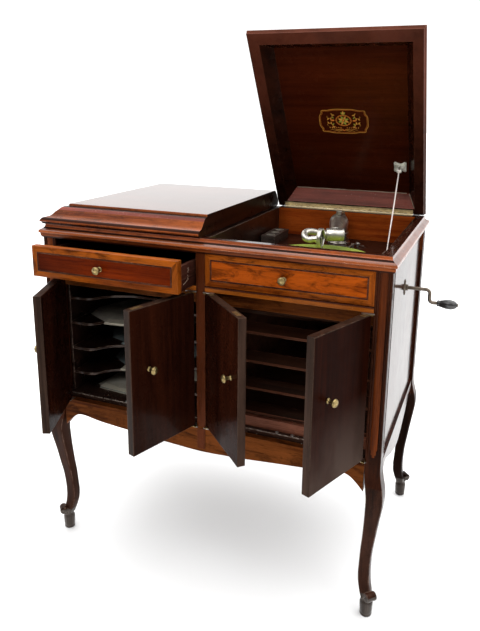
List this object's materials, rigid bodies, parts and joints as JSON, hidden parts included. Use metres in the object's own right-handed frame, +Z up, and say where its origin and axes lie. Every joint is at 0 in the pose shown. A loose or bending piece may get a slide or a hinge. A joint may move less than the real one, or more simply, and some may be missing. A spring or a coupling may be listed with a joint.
{
  "type": "console gramophone",
  "caption": "Console gramophone on cabriole legs: turntable well with hinged lid, record rack, drawer, doors and winding crank.",
  "frame": {"origin": "bottom centre of the whole object at rest, on the floor", "axes": "+Z up, +X to the right along the case front towards the crank, +Y from the front to the back"},
  "size_m": [1.0759, 0.8096, 1.4419],
  "materials": {
    "mahogany_dark": "gloss",
    "mahogany_red": "gloss",
    "inner_wood": "satin",
    "brass": "satin",
    "nickel": "polished",
    "steel": "satin",
    "black_iron": "gloss",
    "felt": "matt",
    "paper": "matt",
    "ebonised": "gloss"
  },
  "bodies": {
    "case": {"front_legs": "mahogany_dark", "back_legs": "mahogany_dark", "side_panel_right": "mahogany_dark", "side_panel_left": "mahogany_dark", "back_panel": "inner_wood", "bottom_board": "inner_wood", "centre_partition": "inner_wood", "centre_stile": "mahogany_red", "front_apron": "mahogany_red", "side_and_back_aprons": "mahogany_dark", "door_rails": "mahogany_red", "drawer_case_boards": "inner_wood", "rim_moulding": "mahogany_red", "well_lining": "mahogany_red", "motor_board": "mahogany_dark", "false_drawer_front": "mahogany_red", "false_drawer_knob": "brass", "door_pivot_plates": "brass", "record_rack": "mahogany_dark", "record_sleeves": "paper", "horn_boards": "inner_wood", "horn_elbow": "black_iron", "louvre_slats": "mahogany_dark", "motor_bedplate": "black_iron", "tonearm_bracket": "nickel", "needle_block": "mahogany_dark", "lid_hinge_case_leaves": "brass", "lid_stay_guide": "nickel", "crank_escutcheon": "nickel"},
    "door_left_outer": {"door_left_outer": "mahogany_dark", "door_knob_and_arms_left_outer": "brass"},
    "door_left_inner": {"door_left_inner": "mahogany_dark", "door_knob_and_arms_left_inner": "brass"},
    "door_right_inner": {"door_right_inner": "mahogany_dark", "door_knob_and_arms_right_inner": "brass"},
    "door_right_outer": {"door_right_outer": "mahogany_dark", "door_knob_and_arms_right_outer": "brass"},
    "drawer": {"drawer_front": "mahogany_red", "drawer_box": "inner_wood", "drawer_knob": "brass"},
    "lid_right": {"lid_right": "mahogany_dark", "lid_hinge_leaf_right": "brass", "lid_stay_bracket": "nickel"},
    "lid_left": {"lid_left": "mahogany_red", "lid_hinge_leaf_left": "brass"},
    "stay_rod": {"lid_stay_rod": "nickel"},
    "turntable": {"turntable": "nickel", "turntable_felt": "felt", "turntable_spindle": "steel"},
    "governor": {"governor": "brass"},
    "spring_barrels": {"spring_barrels": "steel"},
    "crank": {"crank_shaft": "steel"},
    "crank_grip": {"crank_grip": "ebonised"},
    "winding_arbor": {"winding_arbor": "steel"},
    "tonearm": {"tonearm_tube": "nickel"},
    "gooseneck": {"gooseneck": "nickel", "soundbox": "nickel"},
    "needle_screw": {"needle_screw": "nickel"},
    "speed_regulator": {"speed_regulator": "nickel"},
    "brake_lever": {"brake_lever": "nickel"}
  },
  "joints": [
    {"name": "door_left_outer_swing", "type": "hinge", "parent": "case", "child": "door_left_outer", "pos_m": [-0.48695, -0.20827, 0.62], "axis": [0, 0, -1], "range_deg": [-68.5, 39.5]},
    {"name": "door_left_inner_swing", "type": "hinge", "parent": "case", "child": "door_left_inner", "pos_m": [-0.06795, -0.20827, 0.62], "axis": [0, 0, 1], "range_deg": [-72, 13]},
    {"name": "door_right_inner_swing", "type": "hinge", "parent": "case", "child": "door_right_inner", "pos_m": [-0.04395, -0.20827, 0.62], "axis": [0, 0, -1], "range_deg": [-44.5, 40.5]},
    {"name": "door_right_outer_swing", "type": "hinge", "parent": "case", "child": "door_right_outer", "pos_m": [0.37305, -0.20827, 0.62], "axis": [0, 0, 1], "range_deg": [-68.5, 39.5]},
    {"name": "drawer_slide", "type": "slide", "parent": "case", "child": "drawer", "axis": [0, -1, 0], "range_m": [-0.095, 0.2]},
    {"name": "lid_right_swing", "type": "hinge", "parent": "case", "child": "lid_right", "pos_m": [0.15905, 0.37673, 0.9362], "axis": [-1, 0, 0], "range_deg": [-58.6, 8]},
    {"name": "lid_left_swing", "type": "hinge", "parent": "case", "child": "lid_left", "pos_m": [-0.27195, 0.37673, 0.9362], "axis": [-1, 0, 0], "range_deg": [0, 60]},
    {"name": "stay_rod_pivot", "type": "hinge", "parent": "lid_right", "child": "stay_rod", "pos_m": [0.33005, 0.31808, 1.07028], "axis": [-1, 0, 0], "range_deg": [-12, 50]},
    {"name": "turntable_spin", "type": "hinge", "parent": "case", "child": "turntable", "pos_m": [0.17905, 0.00373, 0.866], "axis": [0, 0, -1], "continuous": true},
    {"name": "governor_spin", "type": "hinge", "parent": "case", "child": "governor", "pos_m": [0.17505, -0.01827, 0.783], "axis": [1, 0, 0], "continuous": true},
    {"name": "barrel_spin", "type": "hinge", "parent": "case", "child": "spring_barrels", "pos_m": [0.11505, 0.02474, 0.7733], "axis": [1, 0, 0], "continuous": true},
    {"name": "crank_turn", "type": "hinge", "parent": "case", "child": "crank", "pos_m": [0.37505, 0.05873, 0.798], "axis": [1, 0, 0], "continuous": true},
    {"name": "crank_grip_spin", "type": "hinge", "parent": "crank", "child": "crank_grip", "pos_m": [0.50505, 0.05873, 0.765], "axis": [1, 0, 0], "continuous": true},
    {"name": "winding_arbor_spin", "type": "hinge", "parent": "case", "child": "winding_arbor", "pos_m": [0.17505, 0.02474, 0.7733], "axis": [1, 0, 0], "continuous": true},
    {"name": "tonearm_swing", "type": "hinge", "parent": "case", "child": "tonearm", "pos_m": [0.16505, 0.29573, 0.912], "axis": [0, 0, 1], "range_deg": [-5, 34]},
    {"name": "gooseneck_lift", "type": "hinge", "parent": "tonearm", "child": "gooseneck", "pos_m": [0.18005, 0.09173, 0.912], "axis": [-0.92, -0.3919, 0], "range_deg": [0, 165]},
    {"name": "needle_screw_turn", "type": "hinge", "parent": "gooseneck", "child": "needle_screw", "pos_m": [0.18105, 0.04773, 0.8814], "axis": [1, 0, 0], "continuous": true},
    {"name": "speed_regulator_turn", "type": "hinge", "parent": "case", "child": "speed_regulator", "pos_m": [0.23405, 0.25373, 0.856], "axis": [0, 0, 1], "range_deg": [-60, 60]},
    {"name": "brake_swing", "type": "hinge", "parent": "case", "child": "brake_lever", "pos_m": [0.22505, 0.23173, 0.861], "axis": [0, 0, 1], "range_deg": [-14, 3]}
  ],
  "couplings": [
    {"joint": "stay_rod_pivot", "follows": "lid_right_swing", "ratio": -0.8268},
    {"joint": "winding_arbor_spin", "follows": "crank_turn", "ratio": -0.33333},
    {"joint": "governor_spin", "follows": "turntable_spin", "ratio": 10},
    {"joint": "barrel_spin", "follows": "turntable_spin", "ratio": 0.05}
  ]
}
